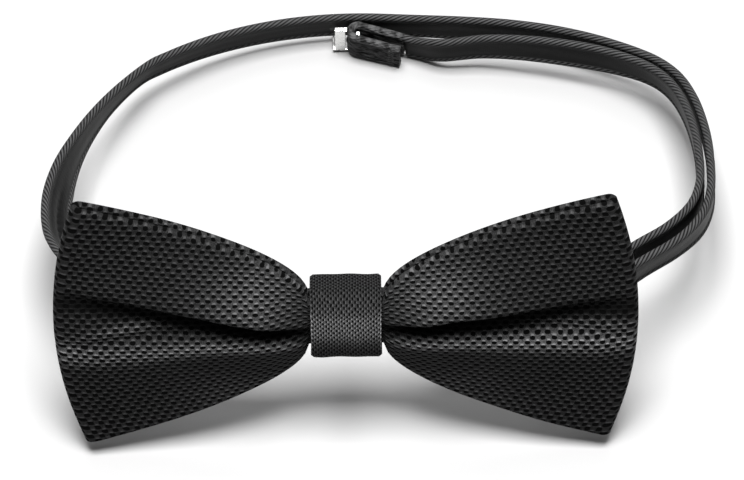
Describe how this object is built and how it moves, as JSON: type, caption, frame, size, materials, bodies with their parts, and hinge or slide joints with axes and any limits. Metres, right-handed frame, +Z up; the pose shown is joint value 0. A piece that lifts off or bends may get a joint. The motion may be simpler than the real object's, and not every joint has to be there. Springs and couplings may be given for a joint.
{
  "type": "pre-tied bow tie",
  "caption": "Pre-tied bow of textured woven cloth on a length-adjustable neckband with a metal slider, a hook and an eye.",
  "frame": {"origin": "on the surface the tie stands on, at the middle of its box", "axes": "+X along the bow, to the left of a person who wears it; -Y out of the bow's front; +Z up. The tie leans back on its wings' lower edges and the back of its band."},
  "size_m": [0.1446, 0.1236, 0.0614],
  "materials": {
    "bow_fabric": "black woven cloth with a raised bird's-eye texture and a soft sheen",
    "interlining": "stiff off-white felted interlining",
    "neckband_fabric": "black satin strap with twilled edges",
    "thread": "black sewing thread",
    "metal": "bright plated steel"
  },
  "bodies": {
    "band": {"neckband": "neckband_fabric", "neckband_return": "neckband_fabric", "eye_stitches": "thread", "band_eye": "metal"},
    "bow": {"bow_cloth": "bow_fabric", "bow_interlining": "interlining", "bow_end_seam": "thread", "bow_pinch_thread": "thread", "knot_wrap": "bow_fabric", "knot_interlining": "interlining", "knot_closing_thread": "thread"},
    "slider": {"length_slider": "metal", "neckband_tab": "neckband_fabric", "tab_stitches": "thread"},
    "hook": {"band_hook": "metal", "neckband_hook_loop": "neckband_fabric"}
  },
  "joints": [
    {"name": "bow_slide", "type": "slide", "parent": "band", "child": "bow", "axis": [1, 0, 0], "range_m": [-0.008, 0.008]},
    {"name": "slider_travel", "type": "hinge", "parent": "band", "child": "slider", "pos_m": [-0.00572, -0.00666, 0.02154], "axis": [0, 0.2229, 0.9748], "range_deg": [0, 30]},
    {"name": "hook_release", "type": "slide", "parent": "band", "child": "hook", "axis": [-1, 0, 0], "range_m": [0, 0.0035]}
  ]
}
